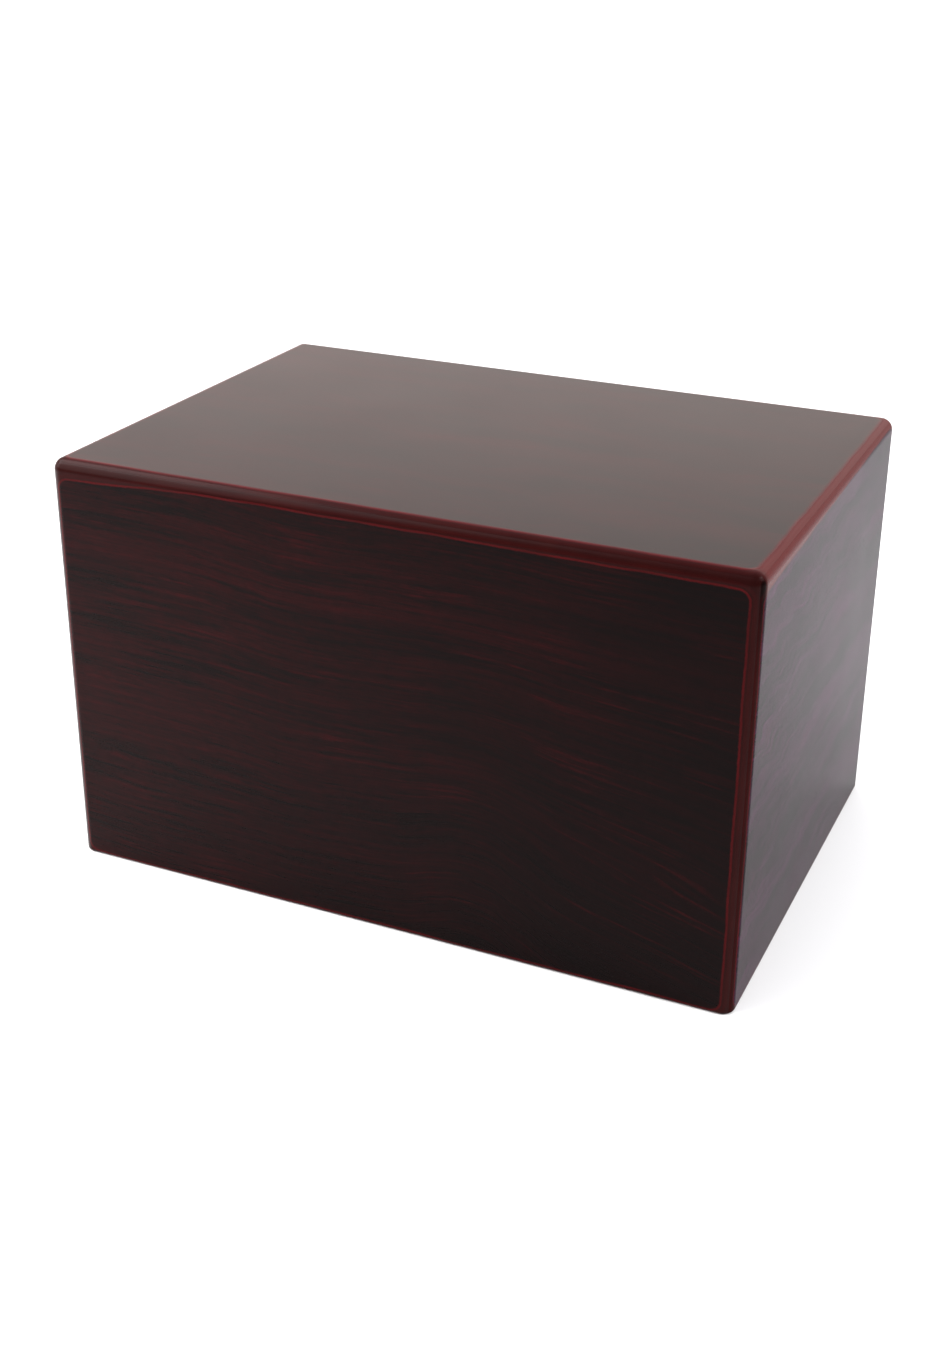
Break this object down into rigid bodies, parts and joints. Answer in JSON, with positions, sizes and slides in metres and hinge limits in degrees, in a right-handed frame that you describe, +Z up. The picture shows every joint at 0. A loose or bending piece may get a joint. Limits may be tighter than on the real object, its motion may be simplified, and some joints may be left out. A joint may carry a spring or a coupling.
{
  "type": "cremation urn box",
  "caption": "Hollow rectangular wooden box urn with rounded edges and a screwed base panel underneath.",
  "frame": {"origin": "centre of the underside", "axes": "+X along the length, -Y towards the front face, +Z up"},
  "size_m": [0.2286, 0.1588, 0.1397],
  "materials": {
    "veneered_board": "dark red-brown wood grain under satin lacquer",
    "base_board": "stained fibreboard, thin matt lacquer",
    "screw": "bright, lightly dulled"
  },
  "bodies": {
    "root": {"top_panel": "veneered_board", "front_panel": "veneered_board", "back_panel": "veneered_board", "left_panel": "veneered_board", "right_panel": "veneered_board", "base_panel": "base_board", "base_screw_front_left": "screw", "base_screw_front_right": "screw", "base_screw_back_left": "screw", "base_screw_back_right": "screw"}
  },
  "joints": []
}
